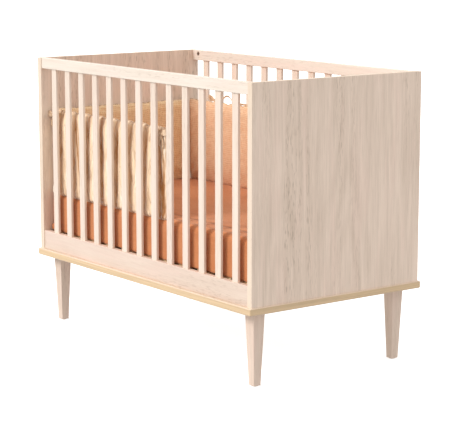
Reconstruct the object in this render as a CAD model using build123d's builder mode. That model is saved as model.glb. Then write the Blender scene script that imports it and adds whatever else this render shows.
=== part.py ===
from build123d import *
import os

# Baby cot on a plinth board with four tapered legs.  Two board ends stand on the plinth,
# and four rails with upright slats join them.  A slatted bed base on steel brackets
# carries the mattress in its fitted sheet, and three soft bumper pads stand on the mattress.
#
# Millimetres, +Z up, +X along the length, the front is -Y.  The origin is on the floor,
# at the middle of the footprint.

os.makedirs("parts", exist_ok=True)

# ---------------------------------------------------------------- driving dimensions

cot_length = 1250.0  # over the outer faces of the two end panels
cot_width = 686.0  # front edge to rear edge of an end panel, edge bands included
panel_height = 688.0  # above the plinth, edge band included
panel_thickness = 22.0
edge_band = 1.0
edge_band_joint = 0.1  # between the top band and an upright one

plinth_thickness = 23.0
plinth_end_overhang = 5.0
plinth_side_overhang = 10.0
plinth_corner_radius = 5.0
plinth_edge_radius = 3.5

leg_height = 240.0  # floor to the underside of the plinth, glide included
leg_top_side = 45.0
leg_foot_side = 27.0
leg_setback = 56.0  # panel's outer face, and panel's edge, to the axis of the leg
leg_edge_radius = 1.5
glide_radius = 10.0
glide_thickness = 3.0
glide_pin_radius = 2.0
glide_pin_length = 12.0

rail_thickness = 20.0
rail_setback = 3.0  # behind the front or rear edge of the end panel
rail_edge_radius = 2.0
top_rail_height = 38.0
bottom_rail_height = 66.0

slat_count = 13
slat_width = 30.0
slat_thickness = 10.0
slat_edge_radius = 2.0
tenon_length = 12.0
tenon_clearance = 0.1  # all round, for the glue
mortise_end_gap = 0.5

cam_radius = 7.5
cam_depth = 12.5
cam_setback = 34.0  # end of the rail to the axis of the cam
cam_cross_width = 2.0
cam_cross_depth = 3.0
top_cam_drop = 13.0  # top of the top rail down to its cams
bottom_cam_rise = 46.0  # plinth up to the cams of the bottom rail
bolt_head_radius = 3.4
bolt_shank_radius = 2.8
bolt_neck_radius = 2.0
bolt_thread_radius = 2.5
bolt_thread_length = 11.0
bolt_bore_clearance = 0.15
dowel_radius = 4.0
dowel_in_panel = 12.0
dowel_in_rail = 18.0
dowel_chamfer = 1.0
top_dowel_drop = 29.0
bottom_dowel_rise = 20.0

base_screw_length = 50.0  # through the plinth, up into panels and bottom rails
base_screw_shank_radius = 3.5
base_screw_head_radius = 6.0
hex_socket_radius = 2.3
hex_socket_depth = 1.8
countersink_angle = 90.0
panel_screw_pitch = 250.0
rail_screw_pitch = 400.0

insert_outer_radius = 6.0
insert_inner_radius = 4.0
insert_length = 15.0
hanger_bolt_in_plinth = 13.0
hanger_bolt_in_leg = 40.0

base_end_gap = 8.0  # bed base to the inner face of an end panel
base_side_gap = 10.0  # bed base to the inner face of a rail
base_top_rise = 66.0  # plinth to the top of the bed base, at the lowest setting
base_rail_height = 36.0
base_rail_thickness = 22.0
base_slat_count = 11
base_slat_width = 70.0
base_slat_thickness = 12.0
base_slat_edge_radius = 2.0
base_end_slat_inset = 6.0  # end of the bed base to the edge of its outermost slat

wood_screw_radius = 2.0
wood_screw_head_radius = 4.0
pan_head_height = 2.4
slat_screw_length = 30.0
corner_screw_length = 50.0
corner_screw_spread = 16.0
bracket_screw_length = 14.0

bracket_thickness = 2.5
bracket_width = 40.0
bracket_ledge = 30.0
bracket_upright = 35.0
bracket_place = 200.0  # middle of the cot to the middle of a bracket
bracket_hole_spread = 24.0
bracket_hole_rise = 22.0  # ledge's underside to the screws
bracket_fillet = 1.0
height_step = 120.0  # between the three settings of the bed base
spare_settings = 2

mattress_thickness = 140.0  # sheet included
mattress_end_gap = 3.0  # mattress to an end panel
mattress_side_gap = 6.0  # mattress to a rail
mattress_edge_radius = 25.0
sheet_thickness = 1.5
sheet_turn_under = 70.0

pad_thickness = 30.0
pad_height = 300.7
pad_edge_radius = 11.0
pad_clearance = 0.3  # pad above the mattress
pad_rail_gap = 6.0  # pad behind the rail's inner face
side_pad_length = 717.0
side_pad_end_gap = 11.0  # side pad to the end panel
end_pad_gap = 2.0  # end pad to the end panel
pad_corner_gap = 1.0  # end pad to the side pads

bow_loop_length = 20.0
bow_loop_height = 13.0
bow_loop_hole_length = 11.0
bow_loop_hole_height = 6.0
bow_knot_radius = 5.0
bow_tail_width = 6.0
bow_tail_length = 46.0
bow_tail_spread = 14.0  # degrees from plumb
bow_thickness = 3.5
bow_inset = 24.0  # end of the pad to the middle of the bow
bow_drop = 16.0  # top of the pad to the middle of the bow

# ---------------------------------------------------------------- places worked out

plinth_top = leg_height + plinth_thickness
panel_top = plinth_top + panel_height
inner_x = cot_length / 2 - panel_thickness
panel_core_width = cot_width - 2 * edge_band
panel_core_height = panel_height - edge_band
panel_middle_x = cot_length / 2 - panel_thickness / 2

rail_y = cot_width / 2 - rail_setback - rail_thickness / 2
rail_inner_y = rail_y - rail_thickness / 2
rail_length = 2 * inner_x
bottom_rail_top = plinth_top + bottom_rail_height
top_rail_bottom = panel_top - top_rail_height

slat_gap = (rail_length - slat_count * slat_width) / (slat_count + 1)
slat_pitch = slat_width + slat_gap
slat_length = top_rail_bottom - bottom_rail_top + 2 * tenon_length
mortise_depth = tenon_length + mortise_end_gap

cam_x = inner_x - cam_setback
cam_heights = {"top": panel_top - top_cam_drop, "bottom": plinth_top + bottom_cam_rise}
dowel_heights = {"top": panel_top - top_dowel_drop, "bottom": plinth_top + bottom_dowel_rise}

leg_x = cot_length / 2 - leg_setback
leg_y = cot_width / 2 - leg_setback
leg_places = {
    "front_left": (-leg_x, -leg_y),
    "front_right": (leg_x, -leg_y),
    "rear_left": (-leg_x, leg_y),
    "rear_right": (leg_x, leg_y),
}

base_length = 2 * (inner_x - base_end_gap)
base_width = 2 * (rail_inner_y - base_side_gap)
base_top = plinth_top + base_top_rise
base_rail_top = base_top - base_slat_thickness
base_rail_bottom = base_rail_top - base_rail_height
base_rail_middle_y = (base_width - base_rail_thickness) / 2
base_rail_middle_x = (base_length - base_rail_thickness) / 2
base_slat_span = base_length - base_slat_width - 2 * base_end_slat_inset
base_slat_pitch = base_slat_span / (base_slat_count - 1)

mattress_length = 2 * (inner_x - mattress_end_gap)
mattress_width = 2 * (rail_inner_y - mattress_side_gap)
mattress_top = base_top + mattress_thickness

pad_bottom = mattress_top + pad_clearance
pad_top = pad_bottom + pad_height
pad_outer_y = rail_inner_y - pad_rail_gap
pad_inner_y = pad_outer_y - pad_thickness
side_pad_left = -inner_x + side_pad_end_gap
side_pad_right = side_pad_left + side_pad_length
end_pad_left = -inner_x + end_pad_gap
end_pad_width = 2 * (pad_inner_y - pad_corner_gap)


# ---------------------------------------------------------------- planes and helpers


def on(plane, points):
    """Locations at flat points of a plane, facing the way the plane faces."""
    return [plane.location * Location((u, v, 0)) for u, v in points]


plinth_underside = Plane(origin=(0, 0, leg_height), z_dir=(0, 0, -1))
left_inner_face = Plane(origin=(-inner_x, 0, 0), x_dir=(0, 1, 0), z_dir=(1, 0, 0))
left_rail_end = Plane(origin=(-inner_x, 0, 0), x_dir=(0, -1, 0), z_dir=(-1, 0, 0))
right_rail_end = Plane(origin=(inner_x, 0, 0), x_dir=(0, 1, 0), z_dir=(1, 0, 0))
front_rail_inside = Plane(origin=(0, -rail_inner_y, 0), x_dir=(-1, 0, 0), z_dir=(0, 1, 0))

panel_screw_rows = (-panel_screw_pitch, 0.0, panel_screw_pitch)
rail_screw_rows = (-rail_screw_pitch, 0.0, rail_screw_pitch)
panel_screw_points = [(x, y) for x in (-panel_middle_x, panel_middle_x) for y in panel_screw_rows]
rail_screw_points = [(x, y) for y in (-rail_y, rail_y) for x in rail_screw_rows]
base_screw_points = panel_screw_points + rail_screw_points

bracket_ledge_bottom = base_rail_bottom - bracket_thickness
bracket_screw_height = bracket_ledge_bottom + bracket_hole_rise
bracket_columns = [
    side * bracket_place + half * bracket_hole_spread / 2 for side in (-1, 1) for half in (-1, 1)
]


def screw_blank(head_outline, shank_radius, length, socket_face):
    """A screw that hangs down local -Z from a head of the given outline, with a hex socket."""
    with BuildPart() as made:
        with BuildSketch(Plane.XZ):
            with BuildLine():
                point = [(shank_radius, -length + shank_radius), (0, -length)]
                Polyline(*head_outline, *point, close=True)
            make_face()
        revolve(axis=Axis.Z)
        with BuildSketch(Plane.XY.offset(socket_face)):
            RegularPolygon(hex_socket_radius, 6)
        extrude(amount=-hex_socket_depth, mode=Mode.SUBTRACT)
    return made.part


def countersunk_screw(head_radius, shank_radius, length):
    """A screw whose right-angled cone ends flush with local 0."""
    cone = [(0, 0), (head_radius, 0), (shank_radius, shank_radius - head_radius)]
    return screw_blank(cone, shank_radius, length, 0)


def pan_screw(head_radius, head_height, shank_radius, length):
    """A screw whose round head stands on local 0."""
    rim = head_radius - head_height / 3
    head = [
        (0, head_height), (rim, head_height), (head_radius, 2 * head_height / 3),
        (head_radius, 0), (shank_radius, 0),
    ]
    return screw_blank(head, shank_radius, length, head_height)


base_screw = countersunk_screw(base_screw_head_radius, base_screw_shank_radius, base_screw_length)
slat_screw = countersunk_screw(wood_screw_head_radius, wood_screw_radius, slat_screw_length)
corner_screw = countersunk_screw(wood_screw_head_radius, wood_screw_radius, corner_screw_length)
bracket_screw = pan_screw(
    wood_screw_head_radius, pan_head_height, wood_screw_radius, bracket_screw_length
)


# ---------------------------------------------------------------- plinth board and its fixings

with BuildPart() as plinth_board:
    with BuildSketch(Plane.XY.offset(leg_height)):
        RectangleRounded(
            cot_length + 2 * plinth_end_overhang,
            cot_width + 2 * plinth_side_overhang,
            plinth_corner_radius,
        )
    extrude(amount=plinth_thickness)
    fillet(plinth_board.faces().filter_by(Axis.Z).edges(), plinth_edge_radius)
    with Locations(*on(plinth_underside, leg_places.values())):
        Hole(insert_outer_radius, insert_length)
    with Locations(*on(plinth_underside, base_screw_points)):
        CounterSinkHole(
            base_screw_shank_radius, base_screw_head_radius, plinth_thickness, countersink_angle
        )
plinth_board.part.label = "plinth_board"
export_step(plinth_board.part, "parts/plinth_board.step")

with BuildPart() as base_screws:
    with Locations(*on(plinth_underside, base_screw_points)):
        add(base_screw)
base_screws.part.label = "base_screws"
export_step(base_screws.part, "parts/base_screws.step")


# ---------------------------------------------------------------- legs

with BuildPart() as leg_inserts:
    with BuildSketch(plinth_underside):
        with Locations(*leg_places.values()):
            Circle(insert_outer_radius)
            Circle(insert_inner_radius, mode=Mode.SUBTRACT)
    extrude(amount=-insert_length)
leg_inserts.part.label = "leg_inserts"
export_step(leg_inserts.part, "parts/leg_inserts.step")

with BuildPart() as hanger_bolts:
    with BuildSketch(plinth_underside.offset(-hanger_bolt_in_plinth)):
        with Locations(*leg_places.values()):
            Circle(insert_inner_radius)
    extrude(amount=hanger_bolt_in_plinth + hanger_bolt_in_leg)
hanger_bolts.part.label = "hanger_bolts"
export_step(hanger_bolts.part, "parts/hanger_bolts.step")

for corner, (x, y) in leg_places.items():
    with BuildPart() as leg:
        with BuildSketch(Plane((x, y, leg_height))):
            Rectangle(leg_top_side, leg_top_side)
        with BuildSketch(Plane((x, y, glide_thickness))):
            Rectangle(leg_foot_side, leg_foot_side)
        loft()
        long_edges = leg.edges().filter_by(lambda edge: abs((edge @ 1 - edge @ 0).Z) > leg_top_side)
        fillet(long_edges, leg_edge_radius)
        with Locations((x, y, leg_height)):
            Hole(insert_inner_radius, hanger_bolt_in_leg)
        with Locations(Plane((x, y, glide_thickness), z_dir=(0, 0, -1)).location):
            Hole(glide_pin_radius, glide_pin_length)
    leg.part.label = f"leg_{corner}"
    export_step(leg.part, f"parts/leg_{corner}.step")

with BuildPart() as foot_glides:
    with Locations(*leg_places.values()):
        Cylinder(glide_radius, glide_thickness, align=(Align.CENTER, Align.CENTER, Align.MIN))
        Cylinder(
            glide_pin_radius,
            glide_thickness + glide_pin_length,
            align=(Align.CENTER, Align.CENTER, Align.MIN),
        )
    lowest_rims = foot_glides.edges().filter_by(GeomType.CIRCLE).group_by(Axis.Z)[0]
    chamfer(lowest_rims, glide_thickness / 4)
foot_glides.part.label = "foot_glides"
export_step(foot_glides.part, "parts/foot_glides.step")


# ---------------------------------------------------------------- end panels

bolt_holes = [(side * rail_y, height) for side in (-1, 1) for height in cam_heights.values()]
dowel_holes = [(side * rail_y, height) for side in (-1, 1) for height in dowel_heights.values()]
setting_heights = [bracket_screw_height + step * height_step for step in range(1 + spare_settings)]
bracket_holes = [(y, height) for y in bracket_columns for height in setting_heights]

with BuildPart() as left_end_panel:
    with BuildSketch(Plane.XY.offset(plinth_top)):
        with Locations((-panel_middle_x, 0)):
            Rectangle(panel_thickness, panel_core_width)
    extrude(amount=panel_core_height)
    with Locations(*on(left_inner_face, bolt_holes)):
        Hole(bolt_thread_radius, bolt_thread_length)
    with Locations(*on(left_inner_face, dowel_holes)):
        Hole(dowel_radius, dowel_in_panel)
    with Locations(*on(left_inner_face, bracket_holes)):
        Hole(wood_screw_radius, bracket_screw_length - bracket_thickness)
    with Locations(*[(-panel_middle_x, y, plinth_top) for y in panel_screw_rows]):
        Cylinder(
            base_screw_shank_radius,
            base_screw_length - plinth_thickness,
            align=(Align.CENTER, Align.CENTER, Align.MIN),
            mode=Mode.SUBTRACT,
        )
left_end_panel.part.label = "left_end_panel"
export_step(left_end_panel.part, "parts/left_end_panel.step")

with BuildPart() as right_end_panel:
    mirror(left_end_panel.part, about=Plane.YZ)
right_end_panel.part.label = "right_end_panel"
export_step(right_end_panel.part, "parts/right_end_panel.step")

band_middle_y = (cot_width - edge_band) / 2
with BuildPart() as left_panel_edge_bands:
    with BuildSketch(Plane.XY.offset(plinth_top)):
        with Locations((-panel_middle_x, -band_middle_y), (-panel_middle_x, band_middle_y)):
            Rectangle(panel_thickness, edge_band)
    extrude(amount=panel_height)
    with BuildSketch(Plane.XY.offset(plinth_top + panel_core_height)):
        with Locations((-panel_middle_x, 0)):
            Rectangle(panel_thickness, panel_core_width - 2 * edge_band_joint)
    extrude(amount=edge_band)
left_panel_edge_bands.part.label = "left_panel_edge_bands"
export_step(left_panel_edge_bands.part, "parts/left_panel_edge_bands.step")

with BuildPart() as right_panel_edge_bands:
    mirror(left_panel_edge_bands.part, about=Plane.YZ)
right_panel_edge_bands.part.label = "right_panel_edge_bands"
export_step(right_panel_edge_bands.part, "parts/right_panel_edge_bands.step")


# ---------------------------------------------------------------- rails

bolt_bore_radius = bolt_head_radius + bolt_bore_clearance


def front_rail(bottom, height, level, mortise_face):
    """The front rail of a level, with its mortises, cam holes, bolt bores and dowel holes."""
    cam_height, dowel_height = cam_heights[level], dowel_heights[level]
    with BuildPart() as rail:
        with BuildSketch(Plane((0, -rail_y, bottom))):
            Rectangle(rail_length, rail_thickness)
        extrude(amount=height)
        fillet(rail.edges().filter_by(Axis.X), rail_edge_radius)
        with BuildSketch(mortise_face):
            with Locations((0, -rail_y * mortise_face.y_dir.Y)):
                with GridLocations(slat_pitch, 0, slat_count, 1):
                    RectangleRounded(
                        slat_width + 2 * tenon_clearance,
                        slat_thickness + 2 * tenon_clearance,
                        slat_edge_radius,
                    )
        extrude(amount=-mortise_depth, mode=Mode.SUBTRACT)
        with Locations(*on(front_rail_inside, [(-cam_x, cam_height), (cam_x, cam_height)])):
            Hole(cam_radius, cam_depth)
        with Locations(
            *on(left_rail_end, [(rail_y, cam_height)]), *on(right_rail_end, [(-rail_y, cam_height)])
        ):
            Hole(bolt_bore_radius, cam_setback + bolt_head_radius)
        with Locations(
            *on(left_rail_end, [(rail_y, dowel_height)]), *on(right_rail_end, [(-rail_y, dowel_height)])
        ):
            Hole(dowel_radius, dowel_in_rail)
        if level == "bottom":
            with Locations(*[(x, -rail_y, bottom) for x in rail_screw_rows]):
                Cylinder(
                    base_screw_shank_radius,
                    base_screw_length - plinth_thickness,
                    align=(Align.CENTER, Align.CENTER, Align.MIN),
                    mode=Mode.SUBTRACT,
                )
    return rail.part


top_mortise_face = Plane(origin=(0, 0, top_rail_bottom), z_dir=(0, 0, -1))
bottom_mortise_face = Plane.XY.offset(bottom_rail_top)
front_rails = {
    "top_rail": front_rail(top_rail_bottom, top_rail_height, "top", top_mortise_face),
    "bottom_rail": front_rail(plinth_top, bottom_rail_height, "bottom", bottom_mortise_face),
}

for name, blank in front_rails.items():
    with BuildPart() as fitted_rail:
        add(blank)
    fitted_rail.part.label = f"front_{name}"
    export_step(fitted_rail.part, f"parts/front_{name}.step")
    with BuildPart() as mirrored_rail:
        mirror(blank, about=Plane.XZ)
    mirrored_rail.part.label = f"back_{name}"
    export_step(mirrored_rail.part, f"parts/back_{name}.step")


# ---------------------------------------------------------------- slats

slat_places = [(number - (slat_count - 1) / 2) * slat_pitch for number in range(slat_count)]

for side, y in (("front", -rail_y), ("back", rail_y)):
    for number, x in enumerate(slat_places, start=1):
        with BuildPart() as slat:
            with BuildSketch(Plane((x, y, bottom_rail_top - tenon_length))):
                RectangleRounded(slat_width, slat_thickness, slat_edge_radius)
            extrude(amount=slat_length)
        slat.part.label = f"{side}_slat_{number:02d}"
        export_step(slat.part, f"parts/{side}_slat_{number:02d}.step")


# ---------------------------------------------------------------- cam fittings and dowels

with BuildPart() as cam:
    Cylinder(cam_radius, cam_depth, align=(Align.CENTER, Align.CENTER, Align.MAX))
    with Locations(Plane(origin=(0, 0, -rail_thickness / 2), z_dir=(1, 0, 0)).location):
        Cylinder(
            bolt_bore_radius,
            cam_radius + bolt_head_radius,
            align=(Align.CENTER, Align.CENTER, Align.MIN),
            mode=Mode.SUBTRACT,
        )
        Cylinder(bolt_bore_radius, 2 * bolt_head_radius, mode=Mode.SUBTRACT)
    with BuildSketch(Plane.XY):
        Rectangle(2 * cam_radius - 2 * cam_cross_width, cam_cross_width)
        Rectangle(cam_cross_width, 2 * cam_radius - 2 * cam_cross_width)
    extrude(amount=-cam_cross_depth, mode=Mode.SUBTRACT)

with BuildPart() as cam_bolt:
    with BuildSketch(Plane.XZ):
        with BuildLine():
            Polyline(
                (0, -bolt_thread_length),
                (bolt_thread_radius, -bolt_thread_length),
                (bolt_thread_radius, 0),
                (bolt_shank_radius, 0),
                (bolt_shank_radius, cam_setback - 2 * bolt_head_radius),
                (bolt_neck_radius, cam_setback - 2 * bolt_head_radius),
                (bolt_neck_radius, cam_setback - bolt_head_radius / 2),
                (bolt_head_radius, cam_setback - bolt_head_radius / 2),
                (bolt_head_radius, cam_setback + bolt_head_radius / 2),
                (0, cam_setback + bolt_head_radius / 2),
                close=True,
            )
        make_face()
    revolve(axis=Axis.Z)

with BuildPart() as cam_fittings:
    with Locations(*on(front_rail_inside, [(cam_x, height) for height in cam_heights.values()])):
        add(cam.part)
    mirror(about=Plane.YZ)
    mirror(about=Plane.XZ)
cam_fittings.part.label = "cam_fittings"
export_step(cam_fittings.part, "parts/cam_fittings.step")

with BuildPart() as cam_bolts:
    with Locations(*on(left_inner_face, [(-rail_y, height) for height in cam_heights.values()])):
        add(cam_bolt.part)
    mirror(about=Plane.YZ)
    mirror(about=Plane.XZ)
cam_bolts.part.label = "cam_bolts"
export_step(cam_bolts.part, "parts/cam_bolts.step")

with BuildPart() as dowel:
    with BuildSketch(Plane.XY.offset(-dowel_in_panel)):
        Circle(dowel_radius)
    extrude(amount=dowel_in_panel + dowel_in_rail)
    chamfer(dowel.edges().filter_by(GeomType.CIRCLE), dowel_chamfer)

with BuildPart() as rail_dowels:
    with Locations(*on(left_inner_face, [(-rail_y, height) for height in dowel_heights.values()])):
        add(dowel.part)
    mirror(about=Plane.YZ)
    mirror(about=Plane.XZ)
rail_dowels.part.label = "rail_dowels"
export_step(rail_dowels.part, "parts/rail_dowels.step")


# ---------------------------------------------------------------- bed base and its brackets

upright_face = left_inner_face.offset(bracket_thickness)
bracket_screw_points = [(y, bracket_screw_height) for y in bracket_columns]

with BuildPart() as base_brackets:
    with BuildSketch(Plane.XZ.offset(-bracket_place)):
        with BuildLine():
            Polyline(
                (-inner_x, bracket_ledge_bottom),
                (-inner_x + bracket_ledge, bracket_ledge_bottom),
                (-inner_x + bracket_ledge, base_rail_bottom),
                (-inner_x + bracket_thickness, base_rail_bottom),
                (-inner_x + bracket_thickness, bracket_ledge_bottom + bracket_upright),
                (-inner_x, bracket_ledge_bottom + bracket_upright),
                close=True,
            )
        make_face()
    extrude(amount=bracket_width / 2, both=True)
    tips = base_brackets.edges().filter_by(Axis.Y).sort_by(Axis.Z)[-2:]
    fillet(tips.sort_by(Axis.X)[-1], bracket_fillet)
    mirror(about=Plane.XZ)
    with Locations(*on(upright_face, bracket_screw_points)):
        Hole(wood_screw_radius, bracket_thickness)
    mirror(about=Plane.YZ)
base_brackets.part.label = "base_brackets"
export_step(base_brackets.part, "parts/base_brackets.step")

with BuildPart() as bracket_screws:
    with Locations(*on(upright_face, bracket_screw_points)):
        add(bracket_screw)
    mirror(about=Plane.YZ)
bracket_screws.part.label = "bracket_screws"
export_step(bracket_screws.part, "parts/bracket_screws.step")

base_slat_places = [
    (number - (base_slat_count - 1) / 2) * base_slat_pitch for number in range(base_slat_count)
]
slat_screw_points = [(x, side * base_rail_middle_y) for x in base_slat_places for side in (-1, 1)]
base_rail_middle_height = base_rail_bottom + base_rail_height / 2
corner_screw_points = [
    (end * base_rail_middle_x, base_rail_middle_height + half * corner_screw_spread / 2)
    for end in (-1, 1)
    for half in (-1, 1)
]
base_front_face = Plane(origin=(0, -base_width / 2, 0), x_dir=(1, 0, 0), z_dir=(0, -1, 0))

with BuildPart() as bed_base_side_rails:
    with BuildSketch(Plane((0, -base_rail_middle_y, base_rail_bottom))):
        Rectangle(base_length, base_rail_thickness)
    extrude(amount=base_rail_height)
    with Locations(*on(base_front_face, corner_screw_points)):
        CounterSinkHole(
            wood_screw_radius, wood_screw_head_radius, base_rail_thickness, countersink_angle
        )
    mirror(about=Plane.XZ)
    with Locations(*[(x, y, base_rail_top) for x, y in slat_screw_points]):
        Hole(wood_screw_radius, slat_screw_length - base_slat_thickness)
bed_base_side_rails.part.label = "bed_base_side_rails"
export_step(bed_base_side_rails.part, "parts/bed_base_side_rails.step")

with BuildPart() as bed_base_end_rails:
    with BuildSketch(Plane.XY.offset(base_rail_bottom)):
        with Locations((-base_rail_middle_x, 0), (base_rail_middle_x, 0)):
            Rectangle(base_rail_thickness, base_width - 2 * base_rail_thickness)
    extrude(amount=base_rail_height)
    with Locations(*on(base_front_face.offset(-base_rail_thickness), corner_screw_points)):
        Hole(wood_screw_radius, corner_screw_length - base_rail_thickness)
    with Locations(
        *on(
            Plane(
                origin=(0, base_width / 2 - base_rail_thickness, 0), x_dir=(-1, 0, 0), z_dir=(0, 1, 0)
            ),
            corner_screw_points,
        )
    ):
        Hole(wood_screw_radius, corner_screw_length - base_rail_thickness)
bed_base_end_rails.part.label = "bed_base_end_rails"
export_step(bed_base_end_rails.part, "parts/bed_base_end_rails.step")

with BuildPart() as bed_base_slats:
    with BuildSketch(Plane.XY.offset(base_rail_top)):
        with GridLocations(base_slat_pitch, 0, base_slat_count, 1):
            Rectangle(base_slat_width, base_width)
    extrude(amount=base_slat_thickness)
    fillet(bed_base_slats.edges().filter_by(Axis.Y).group_by(Axis.Z)[-1], base_slat_edge_radius)
    with Locations(*[(x, y, base_top) for x, y in slat_screw_points]):
        CounterSinkHole(
            wood_screw_radius, wood_screw_head_radius, base_slat_thickness, countersink_angle
        )
bed_base_slats.part.label = "bed_base_slats"
export_step(bed_base_slats.part, "parts/bed_base_slats.step")

with BuildPart() as bed_base_screws:
    with Locations(*on(base_front_face, corner_screw_points)):
        add(corner_screw)
    mirror(about=Plane.XZ)
    with Locations(*[(x, y, base_top) for x, y in slat_screw_points]):
        add(slat_screw)
bed_base_screws.part.label = "bed_base_screws"
export_step(bed_base_screws.part, "parts/bed_base_screws.step")


# ---------------------------------------------------------------- mattress and fitted sheet

with BuildPart() as mattress_core:
    with BuildSketch(Plane.XY.offset(base_top + sheet_thickness)):
        Rectangle(mattress_length - 2 * sheet_thickness, mattress_width - 2 * sheet_thickness)
    extrude(amount=mattress_thickness - 2 * sheet_thickness)
    fillet(mattress_core.edges(), mattress_edge_radius - sheet_thickness)
mattress_core.part.label = "mattress_core"
export_step(mattress_core.part, "parts/mattress_core.step")

with BuildPart() as fitted_sheet:
    with BuildSketch(Plane.XY.offset(base_top)):
        Rectangle(mattress_length, mattress_width)
    extrude(amount=mattress_thickness)
    fillet(fitted_sheet.edges(), mattress_edge_radius)
    add(mattress_core.part, mode=Mode.SUBTRACT)
    with BuildSketch(Plane.XY.offset(base_top)):
        Rectangle(mattress_length - 2 * sheet_turn_under, mattress_width - 2 * sheet_turn_under)
    extrude(amount=sheet_thickness, mode=Mode.SUBTRACT)
fitted_sheet.part.label = "fitted_sheet"
export_step(fitted_sheet.part, "parts/fitted_sheet.step")


# ---------------------------------------------------------------- bumper pads and their bows

with BuildPart() as front_bumper_pad:
    with BuildSketch(Plane.XY.offset(pad_bottom)):
        with Locations(((side_pad_left + side_pad_right) / 2, -(pad_outer_y + pad_inner_y) / 2)):
            Rectangle(side_pad_length, pad_thickness)
    extrude(amount=pad_height)
    fillet(front_bumper_pad.edges(), pad_edge_radius)
front_bumper_pad.part.label = "front_bumper_pad"
export_step(front_bumper_pad.part, "parts/front_bumper_pad.step")

with BuildPart() as back_bumper_pad:
    mirror(front_bumper_pad.part, about=Plane.XZ)
back_bumper_pad.part.label = "back_bumper_pad"
export_step(back_bumper_pad.part, "parts/back_bumper_pad.step")

with BuildPart() as end_bumper_pad:
    with BuildSketch(Plane.XY.offset(pad_bottom)):
        with Locations((end_pad_left + pad_thickness / 2, 0)):
            Rectangle(pad_thickness, end_pad_width)
    extrude(amount=pad_height)
    fillet(end_bumper_pad.edges(), pad_edge_radius)
end_bumper_pad.part.label = "end_bumper_pad"
export_step(end_bumper_pad.part, "parts/end_bumper_pad.step")

pad_front_face = Plane(origin=(0, -pad_outer_y, 0), x_dir=(1, 0, 0), z_dir=(0, -1, 0))
bow_height = pad_top - bow_drop
bow_loop_reach = bow_knot_radius + bow_loop_length / 2
bow_points = [(side_pad_left + bow_inset, bow_height), (side_pad_right - bow_inset, bow_height)]

with BuildPart() as front_bumper_bows:
    with BuildSketch(pad_front_face):
        with Locations(*bow_points):
            with Locations((-bow_loop_reach, 0), (bow_loop_reach, 0)):
                Ellipse(bow_loop_length / 2 + bow_knot_radius / 2, bow_loop_height / 2)
                Ellipse(bow_loop_hole_length / 2, bow_loop_hole_height / 2, mode=Mode.SUBTRACT)
            for slant in (-bow_tail_spread, bow_tail_spread):
                Rectangle(
                    bow_tail_width, bow_tail_length, rotation=slant, align=(Align.CENTER, Align.MAX)
                )
            Circle(bow_knot_radius)
    extrude(amount=bow_thickness)
front_bumper_bows.part.label = "front_bumper_bows"
export_step(front_bumper_bows.part, "parts/front_bumper_bows.step")

with BuildPart() as back_bumper_bows:
    mirror(front_bumper_bows.part, about=Plane.XZ)
back_bumper_bows.part.label = "back_bumper_bows"
export_step(back_bumper_bows.part, "parts/back_bumper_bows.step")
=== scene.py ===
import logging
import math
from collections.abc import Callable
from dataclasses import dataclass, field
from enum import Enum
from typing import ClassVar, Protocol

import bmesh
import bpy
import numpy as np
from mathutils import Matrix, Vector, noise


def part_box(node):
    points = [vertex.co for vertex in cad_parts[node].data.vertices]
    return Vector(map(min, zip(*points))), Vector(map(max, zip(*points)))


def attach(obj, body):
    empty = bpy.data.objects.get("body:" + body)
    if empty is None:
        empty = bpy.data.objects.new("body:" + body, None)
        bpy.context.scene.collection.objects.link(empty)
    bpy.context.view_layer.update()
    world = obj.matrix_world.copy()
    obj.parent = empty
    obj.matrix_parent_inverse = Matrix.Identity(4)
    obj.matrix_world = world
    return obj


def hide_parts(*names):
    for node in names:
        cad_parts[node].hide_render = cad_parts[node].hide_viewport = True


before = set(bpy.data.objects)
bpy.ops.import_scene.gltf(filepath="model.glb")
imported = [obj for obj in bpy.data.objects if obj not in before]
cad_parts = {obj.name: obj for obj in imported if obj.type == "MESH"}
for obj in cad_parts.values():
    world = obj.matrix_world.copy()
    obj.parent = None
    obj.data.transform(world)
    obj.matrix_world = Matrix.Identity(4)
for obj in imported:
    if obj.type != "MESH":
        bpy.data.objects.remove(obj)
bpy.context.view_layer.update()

log = logging.getLogger("cot")

MM = 0.001
TURN = 2 * math.pi
TINY = 1e-9  # keeps a length that is divided by above zero
SRGB_KNEE, SRGB_SLOPE, SRGB_LIFT, SRGB_POWER = 0.04045, 12.92, 0.055, 2.4  # the sRGB curve
MIX_SHARE, MIX_FIRST, MIX_SECOND, MIX_RESULT = 0, 6, 7, 2  # a colour Mix node's sockets
ROUND, FIRM = 2, 9  # the powers that bend a round edge, and a nearly square one
Socket = bpy.types.NodeSocket
Shade = tuple[int, int, int]  # an sRGB colour, 0 to 255 each


class Axis(Enum):
    """An axis of the frame, named as it lies on the cot."""

    LENGTH = 0
    DEPTH = 1
    HEIGHT = 2


class Cover(Enum):
    """Which cloth of a bumper a face belongs to, as its material index."""

    OUTSIDE = 0
    INSIDE = 1


# ---------------------------------------------------------------- shader graphs


def linear(shade: Shade, factor: float = 1.0) -> tuple[float, float, float, float]:
    """Turns an sRGB colour into a linear one.

    Args:
        shade: The colour, 0 to 255 each.
        factor: How much of the colour's light is kept.

    Returns:
        Linear red, green, blue, and an alpha of one.
    """
    parts = []
    for part in shade:
        level = part / 255
        curved = ((level + SRGB_LIFT) / (1 + SRGB_LIFT)) ** SRGB_POWER
        parts.append(factor * (level / SRGB_SLOPE if level <= SRGB_KNEE else curved))
    return (*parts, 1.0)


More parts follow.
